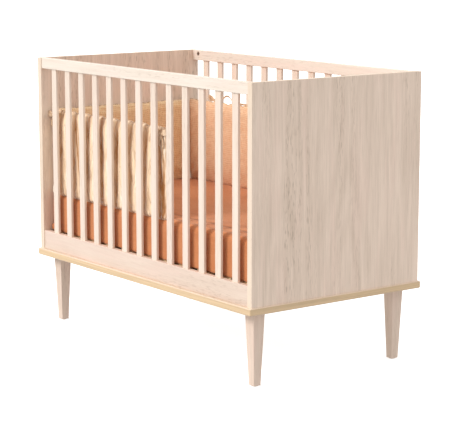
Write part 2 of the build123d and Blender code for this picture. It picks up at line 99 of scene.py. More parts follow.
class Graph:
    """A material's node graph, with short ways to add nodes and join them."""

    def __init__(self, name: str) -> None:
        """Starts a material.

        Args:
            name: The material's name.
        """
        self.material = bpy.data.materials.new(name)
        self.material.use_nodes = True
        self.tree = self.material.node_tree
        self.shader = self.tree.nodes["Principled BSDF"]
        self.place = self.node("TexCoord").outputs["Object"]

    def node(self, kind: str, inputs: dict | None = None, **settings: object) -> bpy.types.Node:
        """Adds a node.

        Args:
            kind: The node's type, without its ShaderNode prefix.
            inputs: Values or output sockets, by the input's name or number.
            **settings: The node's own settings.

        Returns:
            The node.
        """
        made = self.tree.nodes.new("ShaderNode" + kind)
        for key, value in settings.items():
            setattr(made, key, value)
        for key, value in (inputs or {}).items():
            self.feed(made.inputs[key], value)
        return made

    def feed(self, socket: Socket, value: object) -> None:
        """Sets an input to a value, or links an output to it.

        Args:
            socket: The input.
            value: A constant, or an output socket.
        """
        if isinstance(value, Socket):
            self.tree.links.new(value, socket)
        else:
            socket.default_value = value

    def calc(self, operation: str, *terms: object) -> Socket:
        """Works out one step of arithmetic.

        Args:
            operation: The math node's operation.
            *terms: Numbers or sockets.

        Returns:
            The result's socket.
        """
        return self.node("Math", dict(enumerate(terms)), operation=operation).outputs[0]

    def total(self, *shares: tuple[object, float]) -> Socket:
        """Adds values together, each times its share.

        Args:
            *shares: Pairs of a socket and its share.

        Returns:
            The sum's socket.
        """
        sums = [self.calc("MULTIPLY", value, share) for value, share in shares]
        result = sums[0]
        for term in sums[1:]:
            result = self.calc("ADD", result, term)
        return result

    def ramp(self, value: object, low: float, high: float,
             start: float = 0.0, end: float = 1.0) -> Socket:
        """Maps low..high to start..end, and stays there beyond them.

        Args:
            value: The socket to map.
            low: The value that gives start.
            high: The value that gives end.
            start: The result at low.
            end: The result at high.

        Returns:
            The result's socket.
        """
        names = ("Value", "From Min", "From Max", "To Min", "To Max")
        inputs = dict(zip(names, (value, low, high, start, end)))
        return self.node("MapRange", inputs).outputs["Result"]

    def mix(self, share: object, first: object, second: object) -> Socket:
        """Mixes two colours.

        Args:
            share: How much of the second colour shows.
            first: A linear colour or a socket.
            second: A linear colour or a socket.

        Returns:
            The colour's socket.
        """
        made = self.node("Mix", data_type="RGBA", clamp_factor=True)
        for index, value in ((MIX_SHARE, share), (MIX_FIRST, first), (MIX_SECOND, second)):
            self.feed(made.inputs[index], value)
        return made.outputs[MIX_RESULT]

    def scaled(self, scale: tuple[float, float, float], place: Socket | None = None) -> Socket:
        """Scales a place along each axis.

        Args:
            scale: The scale along X, Y and Z.
            place: The place to scale, or the surface's own.

        Returns:
            The scaled place's socket.
        """
        vector = place or self.place
        return self.node("Mapping", {"Vector": vector, "Scale": scale}).outputs["Vector"]

    def cloud(self, place: Socket, scale: float, detail: float = 2.0, rough: float = 0.5) -> Socket:
        """A smooth noise.

        Args:
            place: Where it is read.
            scale: Its features to a metre.
            detail: Its finer layers.
            rough: How strong the finer layers are.

        Returns:
            The noise's socket, about 0.5 on average.
        """
        inputs = {"Vector": place, "Scale": scale, "Detail": detail, "Roughness": rough}
        return self.node("TexNoise", inputs).outputs["Fac"]

    def warped(self, place: Socket, scale: float, reach: float) -> Socket:
        """Shifts a place about by a noise.

        Args:
            place: The place to shift.
            scale: The noise's features to a metre.
            reach: The shift, in metres.

        Returns:
            The shifted place's socket.
        """
        inputs = {"Vector": place, "Scale": scale, "Detail": 2.0}
        colours = self.node("TexNoise", inputs).outputs["Color"]
        centred = self.node("VectorMath", {0: colours, 1: (0.5, 0.5, 0.5)}, operation="SUBTRACT")
        shift = self.node("VectorMath", {0: centred.outputs[0], "Scale": reach}, operation="SCALE")
        return self.node("VectorMath", {0: place, 1: shift.outputs[0]}, operation="ADD").outputs[0]

    def finish(self, colour: object, roughness: object, relief: object, depth: float,
               **constants: object) -> None:
        """Joins the colour, the roughness and the relief to the shader.

        Args:
            colour: The base colour.
            roughness: The roughness.
            relief: The height that the bump follows.
            depth: The height's size, in metres.
            **constants: The shader's own settings, with underscores for spaces.
        """
        self.feed(self.shader.inputs["Base Color"], colour)
        self.feed(self.shader.inputs["Roughness"], roughness)
        bump = self.node("Bump", {"Height": relief, "Distance": depth, "Strength": 1.0})
        self.feed(self.shader.inputs["Normal"], bump.outputs["Normal"])
        for key, value in constants.items():
            self.feed(self.shader.inputs[key.replace("_", " ")], value)


# ---------------------------------------------------------------- finishes


class Finish(Protocol):
    """Anything that can make its material."""

    def make(self) -> bpy.types.Material:
        """Makes the material."""


@dataclass(frozen=True)
class Layer:
    """A layer of a timber's figure, as noise with so many features to a metre."""

    across: float
    along: float  # with the grain
    detail: float
    rough: float = 0.5


@dataclass(frozen=True)
class Timber:
    """Whitened timber or board: fine streaks, faint rings and clusters of open pores."""

    BOARDS: ClassVar[Layer] = Layer(7, 0.8, 1.0)
    CLUSTERS: ClassVar[Layer] = Layer(26, 1.5, 2.0, 0.55)
    STREAKS: ClassVar[Layer] = Layer(120, 5.0, 3.0, 0.6)
    FIBRE: ClassVar[Layer] = Layer(480, 22, 2.0)
    TICKS: ClassVar[Layer] = Layer(300, 34, 1.0)  # open pores
    PINK: ClassVar[Layer] = Layer(19, 2.4, 3.0, 0.6)
    WANDER: ClassVar[tuple[float, float]] = (3.0, 12 * MM)  # how often and how far grain strays
    RING_STRETCH: ClassVar[float] = 9  # how many times longer rings are with the grain
    RING_COUNT: ClassVar[float] = 75.0
    MIDDLE_TONE: ClassVar[float] = 0.53
    TONE_REACH: ClassVar[float] = 0.11  # how far from it the figure's tones spread
    BLUSH: ClassVar[tuple[float, float, float]] = (1.03, 0.93, 0.95)  # what tints it pink
    PLIES: ClassVar[tuple[float, float, float]] = (4, 4, 420)  # thin layers in a board's edge

    name: str
    pale: Shade
    dark: Shade
    grain: Axis
    figure: float = 0.6  # how strongly the grain shows
    rings: float = 5.0  # rings to a metre across the grain, before they wander
    edge: Shade | None = None  # the colour of faces that stand upright, where it is another
    pore_share: float = 0.3
    pore: Shade = (158, 134, 114)
    blush: float = 0.35  # how much paler, pinker wood shows between the streaks
    roughness: float = 0.55

    def scale(self, across: float, with_grain: float) -> tuple[float, float, float]:
        """Gives a scale across the grain and another with it.

        Args:
            across: The scale on the two axes across the grain.
            with_grain: The scale along the grain.

        Returns:
            The scale on each axis.
        """
        scale = [across] * 3
        scale[self.grain.value] = with_grain
        return tuple(scale)

    def read(self, g: Graph, layer: Layer, place: Socket) -> Socket:
        """Reads a layer of the figure.

        Args:
            g: The graph that it belongs to.
            layer: The layer.
            place: Where it is read.

        Returns:
            The layer's noise.
        """
        spot = g.scaled(self.scale(layer.across, layer.along), place)
        return g.cloud(spot, 1.0, layer.detail, layer.rough)

    def make(self) -> bpy.types.Material:
        """Makes the material.

        Returns:
            The material.
        """
        g = Graph(self.name)
        lean = g.warped(g.place, *self.WANDER)
        ring_layer = Layer(self.rings, self.rings / self.RING_STRETCH, 1.0)
        turns = g.calc("MULTIPLY", self.read(g, ring_layer, lean), self.RING_COUNT)
        rings = g.ramp(g.calc("SINE", turns), -1, 1)
        layers = (self.BOARDS, self.CLUSTERS, self.STREAKS, self.FIBRE, self.TICKS, self.PINK)
        board, clusters, streaks, fibre, ticks, pink = (self.read(g, each, lean) for each in layers)
        tone = g.total((board, 0.2), (clusters, 0.25), (streaks, 0.35), (fibre, 0.2), (rings, 0.06))
        reach = self.TONE_REACH / self.figure
        figure = g.ramp(tone, self.MIDDLE_TONE - reach, self.MIDDLE_TONE + reach)
        colour = g.mix(figure, linear(self.pale), linear(self.dark))
        pinker = (*(part * tint for part, tint in zip(linear(self.pale), self.BLUSH)), 1)
        colour = g.mix(g.calc("MULTIPLY", g.ramp(pink, 0.5, 0.66), self.blush), colour, pinker)
        bands = g.calc("MULTIPLY", g.ramp(clusters, 0.42, 0.6), g.ramp(board, 0.36, 0.58))
        pores = g.calc("MULTIPLY", g.ramp(ticks, 0.56, 0.66), bands)
        colour = g.mix(g.calc("MULTIPLY", pores, self.pore_share), colour, linear(self.pore))
        if self.edge:
            normal = g.node("TexCoord").outputs["Normal"]
            level = g.calc("ABSOLUTE", g.node("SeparateXYZ", {0: normal}).outputs["Z"])
            plies = g.cloud(g.scaled(self.PLIES), 1.0, 2.0)
            core = g.mix(g.ramp(plies, 0.35, 0.65), linear(self.edge), linear(self.edge, 0.82))
            colour = g.mix(g.ramp(level, 0.25, 0.6, 1.0, 0.0), colour, core)
        rough = g.ramp(fibre, 0.3, 0.7, self.roughness - 0.05, self.roughness + 0.1)
        relief = g.total((fibre, 0.5), (streaks, 0.7), (pores, -0.6))
        g.finish(colour, rough, relief, 0.25 * MM, Specular_IOR_Level=0.4)
        return g.material


@dataclass(frozen=True)
class Metal:
    """A plated or cast fitting, unevenly polished."""

    name: str
    colour: Shade
    roughness: float = 0.35
    mottle: float = 260  # patches of polish to a metre
    pits: float = 1600
    depth: float = 0.05 * MM

    def make(self) -> bpy.types.Material:
        """Makes the material.

        Returns:
            The material.
        """
        g = Graph(self.name)
        cloud = g.cloud(g.place, self.mottle, 4)
        colour = g.mix(g.ramp(cloud, 0.3, 0.7), linear(self.colour), linear(self.colour, 0.7))
        rough = g.ramp(cloud, 0.3, 0.7, self.roughness - 0.07, self.roughness + 0.1)
        g.finish(colour, rough, g.cloud(g.place, self.pits), self.depth, Metallic=1.0)
        return g.material


@dataclass(frozen=True)
class Nylon:
    """Moulded white plastic."""

    name: str
    colour: Shade
    mottle: float = 90
    graining: float = 2400
    depth: float = 0.04 * MM

    def make(self) -> bpy.types.Material:
        """Makes the material.

        Returns:
            The material.
        """
        g = Graph(self.name)
        cloud = g.cloud(g.place, self.mottle, 3)
        colour = g.mix(g.ramp(cloud, 0.3, 0.7), linear(self.colour), linear(self.colour, 0.88))
        rough = g.ramp(cloud, 0.3, 0.7, 0.4, 0.52)
        g.finish(colour, rough, g.cloud(g.place, self.graining), self.depth)
        return g.material


@dataclass(frozen=True)
class Cotton:
    """Plain-woven cotton, with slubs, a soft bloom, and painted shade in the folds that the mesh
    marks.
    """

    name: str
    colour: Shade
    deep: Shade
    thread: float = 1.1 * MM
    bloom: float = 0.2
    shade_from_mesh_folds: bool = False  # the mesh says where its folds are, which get painted shade
    slub: tuple[float, float, float] = (25, 700, 700)  # thick threads to a metre on each axis
    patches: float = 7
    depth: float = 0.2 * MM

    def make(self) -> bpy.types.Material:
        """Makes the material.

        Returns:
            The material.
        """
        g = Graph(self.name)
        x, y, z = g.node("SeparateXYZ", {0: g.place}).outputs
        drop = g.calc("MULTIPLY", z, 0.8)
        turn = TURN / self.thread
        warp = g.calc("SINE", g.calc("MULTIPLY", g.calc("ADD", x, drop), turn))
        weft = g.calc("SINE", g.calc("MULTIPLY", g.calc("ADD", y, drop), turn))
        weave = g.ramp(g.calc("MULTIPLY", warp, weft), -1, 1)
        slubs = g.cloud(g.scaled(self.slub), 1.0, 2.0)
        tone = g.total((g.cloud(g.place, self.patches, 4), 0.6), (slubs, 0.4))
        colour = g.mix(g.ramp(tone, 0.35, 0.65), linear(self.colour), linear(self.deep))
        colour = g.mix(g.calc("MULTIPLY", weave, 0.18), colour, linear(self.deep, 0.8))
        # painted shade darkens the folds that the mesh marks
        if self.shade_from_mesh_folds:
            fold = g.node("Attribute", attribute_name="fold").outputs["Fac"]
            colour = g.mix(g.calc("MULTIPLY", fold, 0.9), colour, linear(self.deep, 0.36))
        relief = g.total((weave, 0.6), (slubs, 0.8))
        g.finish(colour, g.ramp(slubs, 0.3, 0.7, 0.8, 0.92), relief, self.depth,
                 Specular_IOR_Level=0.25, Sheen_Weight=self.bloom, Sheen_Roughness=0.5)
        return g.material


@dataclass(frozen=True)
class Satin:
    """Soft satin, pale on the ridges of its folds, with a painted highlight on their crests and
    painted golden shade in its valleys and sharp creases.
    """

    name: str
    ridge: Shade
    # the painted shade colour in the folds' valleys and along the sharp creases
    valley: Shade
    # the painted highlight on the folds' crests
    gleam: Shade = (255, 246, 230)
    crush: float = 1.6 * MM  # how deep the fine creases are
    shade_from_mesh_folds: bool = True  # the mesh says how deep each point lies in the folds, which the painted shade and highlight follow
    sway: tuple[float, float] = (12, 30 * MM)  # how often and how far creases stray
    crumple: tuple[float, float, float] = (60, 60, 13)  # creases to a metre on each axis
    wrinkle: tuple[float, float, float] = (210, 210, 60)
    thread: tuple[float, float, float] = (2400, 2400, 120)
    vein: tuple[float, float, float] = (24, 24, 2.2)  # the sharp lines between the puffs, darkened with painted shade
    vein_width: float = 0.022
    # how dark the painted shade along the sharp lines is
    vein_shade_strength: float = 0.36

    def make(self) -> bpy.types.Material:
        """Makes the material.

        Returns:
            The material.
        """
        g = Graph(self.name)
        lean = g.warped(g.place, *self.sway)
        creases = g.cloud(g.scaled(self.crumple, lean), 1.0, 4.0, 0.6)
        fine = g.cloud(g.scaled(self.wrinkle, lean), 1.0, 3.0, 0.6)
        threads = g.cloud(g.scaled(self.thread), 1.0, 1.0)
        height = creases
        if self.shade_from_mesh_folds:
            height = g.node("Attribute", attribute_name="fold").outputs["Fac"]
        # painted light: the valleys get painted golden shade, the crests a painted highlight
        tone = g.total((height, 0.7), (creases, 0.4), (fine, 0.12))
        colour = g.mix(g.ramp(tone, 0.3, 0.84), linear(self.valley), linear(self.ridge))
        colour = g.mix(g.ramp(tone, 0.86, 1.0), colour, linear(self.gleam))
        veins = g.cloud(g.scaled(self.vein, lean), 1.0, 2.0, 0.5)
        away = g.calc("ABSOLUTE", g.calc("SUBTRACT", veins, 0.5))
        crease = g.ramp(away, 0.0, self.vein_width, 1.0, 0.0)
        share = g.calc("MULTIPLY", crease, self.vein_shade_strength)
        # painted shade along the sharp lines between the puffs
        colour = g.mix(share, colour, linear(self.valley, 0.75))
        relief = g.total((creases, 1.0), (fine, 0.3), (threads, 0.02), (crease, -0.5))
        g.finish(colour, g.ramp(creases, 0.35, 0.65, 0.22, 0.36), relief, self.crush,
                 Specular_IOR_Level=0.6, Sheen_Weight=0.25, Sheen_Roughness=0.35, Anisotropic=0.4)
        return g.material


@dataclass(frozen=True)
class Waffle:
    """Cotton with a small raised waffle weave."""

    name: str
    colour: Shade
    deep: Shade
    cell: float = 7 * MM
    depth: float = 1.1 * MM  # how far the ribs stand up
    sway: tuple[float, float] = (24, 14 * MM)  # how often and how far the ribs stray
    patches: float = 46
    lumps: float = 70
    fuzz: float = 1500

    def make(self) -> bpy.types.Material:
        """Makes the material.

        Returns:
            The material.
        """
        g = Graph(self.name)
        lean = g.warped(g.place, *self.sway)
        x, y, z = g.node("SeparateXYZ", {0: lean}).outputs
        turn = TURN / self.cell
        columns = g.calc("SINE", g.calc("MULTIPLY", g.calc("ADD", x, y), turn))
        rows = g.calc("SINE", g.calc("MULTIPLY", z, turn))
        ribs = g.ramp(g.calc("MAXIMUM", columns, rows), -0.4, 1.0)
        threads = g.cloud(g.place, self.fuzz)
        patches = g.cloud(g.place, self.patches, 4, 0.65)
        tone = g.total((ribs, 0.3), (patches, 0.55), (threads, 0.15))
        colour = g.mix(g.ramp(tone, 0.3, 0.75), linear(self.deep), linear(self.colour))
        relief = g.total((ribs, 0.7), (g.cloud(g.place, self.lumps, 3), 0.7), (threads, 0.2))
        g.finish(colour, g.ramp(threads, 0.3, 0.7, 0.82, 0.95), relief, self.depth,
                 Specular_IOR_Level=0.2, Sheen_Weight=0.3, Sheen_Roughness=0.5)
        return g.material


class Palette:
    """The cot's finishes, each made once."""

    board = Timber("panel_board", (243, 222, 205), (217, 196, 178), Axis.HEIGHT,
                   figure=0.85, pore_share=0.55, blush=0.2)
    edging = Timber("panel_edging", (236, 219, 200), (221, 200, 179), Axis.HEIGHT, figure=0.5)
    rail = Timber("rail_timber", (238, 228, 216), (225, 210, 196), Axis.LENGTH, figure=0.7)
    # a darker, warmer copy of the rail timber: painted shade for the lower rails, standing in for
    # the cot's shade and the mattress's warm bounce
    shaded_low_rail = Timber("shaded_low_rail_timber", (228, 210, 195), (211, 189, 173), Axis.LENGTH,
                      figure=0.7)
    slat = Timber("slat_timber", (238, 223, 209), (222, 202, 186), Axis.HEIGHT,
                  figure=0.7, rings=9)
    plinth = Timber("plinth_board", (234, 214, 194), (216, 193, 170), Axis.LENGTH,
                    edge=(225, 196, 158))
    leg = Timber("leg_timber", (232, 211, 195), (214, 192, 175), Axis.HEIGHT,
                 figure=0.7, rings=9)
    pine = Timber("pine_rails", (228, 200, 154), (200, 160, 108), Axis.LENGTH,
                  figure=1.0, rings=9)
    cross_pine = Timber("pine_slats", (230, 202, 158), (204, 165, 114), Axis.DEPTH,
                        figure=1.0, rings=9)
    dowel = Timber("beech_dowel", (222, 190, 148), (200, 162, 118), Axis.LENGTH, rings=20)
    zinc = Metal("cast_zinc", (168, 150, 138), 0.45)
    steel = Metal("plated_steel", (192, 192, 195), 0.3)
    nylon = Nylon("white_nylon", (232, 228, 220))
    sheet = Cotton("terracotta_cotton", (214, 141, 92), (194, 118, 70), shade_from_mesh_folds=True)
    ticking = Cotton("white_ticking", (240, 236, 228), (222, 216, 204))
    # its second, darker colour is painted golden shade in the folds' valleys
    satin = Satin("gold_satin", (250, 222, 188), (180, 122, 70))
    peach = Waffle("peach_waffle", (243, 208, 174), (218, 165, 122))
    # a yellower, paler copy of the peach waffle: painted warm bounce light on the end pad's inner
    # face, which faces away from the sun
    bounce_tinted_waffle = Waffle("bounce_tinted_peach_waffle", (250, 222, 180), (224, 184, 136))
    # its second, dark colour is painted shade in the ribbon's creases
    ribbon = Satin("cream_ribbon", (248, 222, 190), (150, 98, 52), crush=0.5 * MM, shade_from_mesh_folds=False)

    def __init__(self) -> None:
        """Starts with no material made."""
        self.made: dict[str, bpy.types.Material] = {}

    def of(self, finish: Finish) -> bpy.types.Material:
        """Gives a finish's material, and makes it the first time.

        Args:
            finish: The finish.

        Returns:
            The material.
        """
        if finish.name not in self.made:
            self.made[finish.name] = finish.make()
        return self.made[finish.name]


# ---------------------------------------------------------------- mesh work


def ripple(place: tuple[float, float, float], scale: float, seed: float = 0.0) -> float:
    """Reads a smooth noise of about -1 to 1.

    Args:
        place: Where it is read, in metres.
        scale: Its features to a metre.
        seed: A number that picks another noise.

    Returns:
        The noise there.
    """
    return noise.noise(Vector(place) * scale + Vector((seed, 3.7 * seed, -seed)))


def spaced(start: float, end: float, step: float, rim: tuple[float, ...] = ()) -> list[float]:
    """Spaces cuts evenly between two ends, closer together near them.

    Args:
        start: The first cut.
        end: The last cut.
        step: The most between two cuts in the middle.
        rim: How far in from each end the close cuts are.

    Returns:
        The cuts, in order.
    """
    inner = [start + r for r in rim] or [start]
    outer = [end - r for r in reversed(rim)] or [end]
    count = max(1, math.ceil((outer[0] - inner[-1]) / step))
    middle = np.linspace(inner[-1], outer[0], count + 1)[1:-1]
    return sorted({start, end, *inner, *map(float, middle), *outer})


def add_object(name: str, data: bpy.types.ID) -> bpy.types.Object:
    """Puts an object with some data into the scene.

    Args:
        name: The object's name.
        data: Its mesh, curve, light or camera.

    Returns:
        The object.
    """
    made = bpy.data.objects.new(name, data)
    bpy.context.scene.collection.objects.link(made)
    return made


def shown_mesh(piece: bpy.types.Object) -> bpy.types.Mesh:
    """Copies the mesh that a piece shows, with its modifiers or bevel.

    Args:
        piece: The piece.

    Returns:
        The new mesh.
    """
    bpy.context.view_layer.update()
    shown = piece.evaluated_get(bpy.context.evaluated_depsgraph_get())
    return bpy.data.meshes.new_from_object(shown)


def to_object(mesh: bmesh.types.BMesh, name: str) -> bpy.types.Object:
    """Turns a bmesh into an object of the scene, smoothly shaded.

    Args:
        mesh: The bmesh, which is freed.
        name: The object's name.

    Returns:
        The object.
    """
    for face in mesh.faces:
        face.smooth = True
    data = bpy.data.meshes.new(name)
    mesh.to_mesh(data)
    mesh.free()
    return add_object(name, data)


def apply_modifiers(piece: bpy.types.Object) -> None:
    """Puts a piece's modifiers into its mesh.

    Args:
        piece: The piece.
    """
    data = shown_mesh(piece)
    piece.modifiers.clear()
    piece.data = data


def thicken(piece: bpy.types.Object, thickness: float, offset: float) -> None:
    """Gives a thin skin the thickness of its cloth.

    Args:
        piece: The skin.
        thickness: The cloth's thickness.
        offset: Which side it is added to: -1 inside, 0 both.
    """
    cloth = piece.modifiers.new("cloth", "SOLIDIFY")
    cloth.thickness = thickness
    cloth.offset = offset
    apply_modifiers(piece)


def block(cuts: list[list[float]], radius: float,
          keep: Callable[[Vector], bool]) -> bmesh.types.BMesh:
    """Builds the skin of a block with round upper edges and firmer lower ones.

    Args:
        cuts: The places where the skin is cut into quads, along each axis.
        radius: The radius of the edges.
        keep: Says whether a face is kept, from the place of its middle.

    Returns:
        The skin.
    """
    mesh = bmesh.new()
    low = [line[0] + radius for line in cuts]
    high = [line[-1] - radius for line in cuts]
    corners: dict[tuple[int, ...], bmesh.types.BMVert] = {}

    def corner(index: tuple[int, ...]) -> bmesh.types.BMVert:
        """Gives the vertex at a cut of each axis, and makes it the first time.

        Args:
            index: The cut's number along each axis.

        Returns:
            The vertex.
        """
        if index not in corners:
            flat = Vector([cuts[axis][index[axis]] for axis in range(3)])
            core = Vector([min(max(flat[axis], low[axis]), high[axis]) for axis in range(3)])
            out = flat - core
            power = ROUND if out.z >= 0 else FIRM
            size = sum(abs(part) ** power for part in out) ** (1 / power)
            corners[index] = mesh.verts.new(core + out * (max(map(abs, out)) / max(size, TINY)))
        return corners[index]

    for axis in range(3):
        a, b = (axis + 1) % 3, (axis + 2) % 3
        for end in (0, len(cuts[axis]) - 1):
            for i in range(len(cuts[a]) - 1):
                for j in range(len(cuts[b]) - 1):
                    ring = []
                    for step_a, step_b in ((0, 0), (1, 0), (1, 1), (0, 1)):
                        index = [0, 0, 0]
                        index[axis], index[a], index[b] = end, i + step_a, j + step_b
                        ring.append(tuple(index))
                    places = [Vector([cuts[n][point[n]] for n in range(3)]) for point in ring]
                    if keep(sum(places, Vector()) / len(places)):
                        quad = [corner(point) for point in ring]
                        mesh.faces.new(quad if end else quad[::-1])
    return mesh


def tube(name: str, points: list[Vector], radius: float, closed: bool) -> bpy.types.Object:
    """Makes a round cord of cloth along points, as a mesh.

    Args:
        name: The piece's name.
        points: The points along its middle.
        radius: Its radius.
        closed: Whether it joins its own start.

    Returns:
        The piece.
    """
    curve = bpy.data.curves.new(name, "CURVE")
    curve.dimensions = "3D"
    curve.bevel_depth = radius
    curve.bevel_resolution = 2
    curve.use_fill_caps = True
    line = curve.splines.new("POLY")
    line.points.add(len(points) - 1)
    for point, place in zip(line.points, points):
        point.co = (*place, 1)
    line.use_cyclic_u = closed
    drawn = add_object(name, curve)
    data = shown_mesh(drawn)
    bpy.data.objects.remove(drawn)
    data.shade_smooth()
    return add_object(name, data)


def settle(piece: bpy.types.Object, body: str,
           materials: list[bpy.types.Material]) -> None:
    """Dresses a finished piece, and makes it ride on its body.

    Args:
        piece: The piece.
        body: The body's name.
        materials: Its materials, by index.
    """
    for material in materials:
        piece.data.materials.append(material)
    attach(piece, body)
    log.info("%s rides on %s", piece.name, body)


# ---------------------------------------------------------------- the timber


@dataclass
class Timberwork:
    """The frame, the bed base and their fixings, which keep their shapes and get finishes."""

    palette: Palette
    finishes: dict[str, tuple[str, ...]] = field(default_factory=lambda: {
        "plinth": ("plinth_board",),
        "board": ("left_end_panel", "right_end_panel"),
        "edging": ("left_panel_edge_bands", "right_panel_edge_bands"),
        "nylon": ("foot_glides",),
        "steel": ("base_screws", "leg_inserts", "hanger_bolts", "cam_bolts",
                  "base_brackets", "bracket_screws", "bed_base_screws"),
        "zinc": ("cam_fittings",),
        "dowel": ("rail_dowels",),
        "pine": ("bed_base_side_rails",),
        "cross_pine": ("bed_base_end_rails", "bed_base_slats"),
        "leg": ("leg_",),
        "slat": ("front_slat_", "back_slat_"),
        "rail": ("front_top_", "back_top_"),
        # the lower rails take the copy of the rail timber with painted shade
        "shaded_low_rail": ("front_bottom_", "back_bottom_"),
    })  # the starts of the nodes' names, of which the first that fits holds

    def finish_of(self, node: str) -> str | None:
        """Finds a node's finish.

        Args:
            node: The node's name.

        Returns:
            The finish's name in the palette, or None for a soft node.
        """
        kinds = (kind for kind, starts in self.finishes.items() if node.startswith(starts))
        return next(kinds, None)

    def dress(self) -> None:
        """Gives every node that stays its finish."""
        for node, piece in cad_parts.items():
            kind = self.finish_of(node)
            if kind is None:
                continue
            material = self.palette.of(getattr(self.palette, kind))
            if not piece.material_slots:
                piece.data.materials.append(material)
            for place in piece.material_slots:
                place.material = material
            log.info("%s is %s", node, kind)


# ---------------------------------------------------------------- the mattress


@dataclass
class MattressSet:
    """The foam mattress in its ticking, and the fitted sheet drawn over it."""

    palette: Palette
    body: str = "mattress"
    edge_radius: float = 25 * MM
    cloth: float = 1.5 * MM
    turn_under: float = 70 * MM
    crown: float = 2 * MM
    core_inset: float = 5 * MM  # how far inside the sheet's outer face the ticking lies
    core_step: float = 18 * MM
    sheet_step: float = 7 * MM
    fold_zone: float = 90 * MM  # how far in from the front edge the sheet's folds run
    fold_pitch: float = 46 * MM
    fold_depth: float = 3.8 * MM
    shoulder: tuple[float, float] = (30 * MM, 22 * MM)  # where the top's shape fades out
    softness: float = 1.3 * MM  # how uneven the top is
    side_pull: float = 2.4 * MM  # how far the sides lean in at the top
    pucker: float = 1.6 * MM  # how deep the sides' gathers are
    side_share: float = 0.97  # from here out, a point belongs to a side
    top_depth: float = 12 * MM  # how far down the painted shade of the folds goes
    cut_width: float = 1.048
    cut_length: float = 1.62
    cut_area: float = 1.521

    def tension(self, place: Vector, low: Vector) -> float:
        """Says how deep a point lies in the folds along the front edge, where the sheet is tight.

        Args:
            place: The point.
            low: The sheet's lowest corner.

        Returns:
            The depth there, from 0 to 1.
        """
        front = (place.y - low.y) / self.fold_zone
        pull = math.exp(-((front - 0.75) / 0.5) ** 2)
        stray = 0.32 * ripple((place.x, place.y, 0), 4.2)
        line = place.y / self.fold_pitch + stray + 0.5 * place.x
        return pull * (1 - abs(math.sin(math.pi * line))) ** 3

    def relief(self, place: Vector, low: Vector, high: Vector) -> Vector:
        """Works out how far a point of the sheet moves from a plain block's skin.

        Args:
            place: The point.
            low: The block's lowest corner.
            high: The block's highest corner.

        Returns:
            The move.
        """
        middle = (low + high) / 2
        half = (high - low) / 2
        u, v = (place.x - middle.x) / half.x, (place.y - middle.y) / half.y
        depth, fade = self.shoulder
        top = min(1.0, max(0.0, (place.z - high.z + depth) / fade))
        dome = -self.crown * (1 - (1 - abs(u) ** 3) * (1 - abs(v) ** 3)) * top
        sag = -self.fold_depth * self.tension(place, low) * top
        soft = self.softness * ripple((place.x, place.y * 2.2, 0), 5.5, 4) * top
        move = Vector((0, 0, dome + sag + soft))
        if top < 1 and max(abs(u), abs(v)) > self.side_share:
            height = (place.z - low.z) / (high.z - low.z)
            run = place.x if abs(v) > abs(u) * 0.999 else place.y
            puckers = ripple((run, 0, height * 0.05), 26, 8) * (1 - height) ** 2 * self.pucker
            draw = ripple((run, height * 0.1, 1), 7, 2) * self.pucker
            lean = self.side_pull * max(0.0, 2 * height - 1) ** 2
            normal = Vector([
                math.copysign(1, share) * (abs(share) > self.side_share) for share in (u, v)
            ] + [0])
            move += normal.normalized() * (-lean - abs(puckers) + min(0, draw)) * (1 - top)
        return move

    def skin(self, name: str, inset: float, open_below: bool, step: float) -> bpy.types.Object:
        """Makes the mattress's skin or the sheet's.

        Args:
            name: The piece's name.
            inset: How far inside the sheet's outer face it lies.
            open_below: Whether the middle of its underside is left out.
            step: The size of its quads.

        Returns:
            The piece.
        """
        low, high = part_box("fitted_sheet")
        rim = tuple(self.edge_radius * share for share in (0, 0.2, 0.4, 0.6, 0.8, 1.0))
        gap = Vector((inset, inset, inset))
        inner_low, inner_high = low + gap, high - gap
        hems = [(inner_low[n] + self.turn_under, inner_high[n] - self.turn_under) for n in (0, 1)]
        cuts = [spaced(inner_low[axis], inner_high[axis], step, rim) for axis in range(3)]
        for axis, hem in enumerate(hems):
            cuts[axis] = sorted({*cuts[axis], *hem})

        def keep(middle: Vector) -> bool:
            """Says whether a face isn't in the opening below.

            Args:
                middle: The face's middle.

            Returns:
                Whether it is kept.
            """
            inside = all(hem[0] < middle[n] < hem[1] for n, hem in enumerate(hems))
            return not (open_below and inside and middle.z < inner_low.z + MM)

        mesh = block(cuts, self.edge_radius, keep)
        # each point's fold depth on the top, which paints shade into the tight folds
        folds = mesh.verts.layers.float.new("fold")
        for vertex in mesh.verts:
            on_top = vertex.co.z > high.z - self.top_depth
            vertex[folds] = self.tension(vertex.co, low) if on_top else 0.0
            vertex.co += self.relief(vertex.co, low, high)
        return to_object(mesh, name)

    def make(self) -> None:
        """Builds and dresses the mattress and its sheet."""
        core = self.skin("mattress_in_ticking", self.core_inset, False, self.core_step)
        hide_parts("mattress_core")
        settle(core, self.body, [self.palette.of(self.palette.ticking)])
        sheet = self.skin("terracotta_fitted_sheet", 0.0, True, self.sheet_step)
        thicken(sheet, self.cloth, -1)
        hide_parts("fitted_sheet")
        settle(sheet, self.body, [self.palette.of(self.palette.sheet)])


# ---------------------------------------------------------------- the bumpers


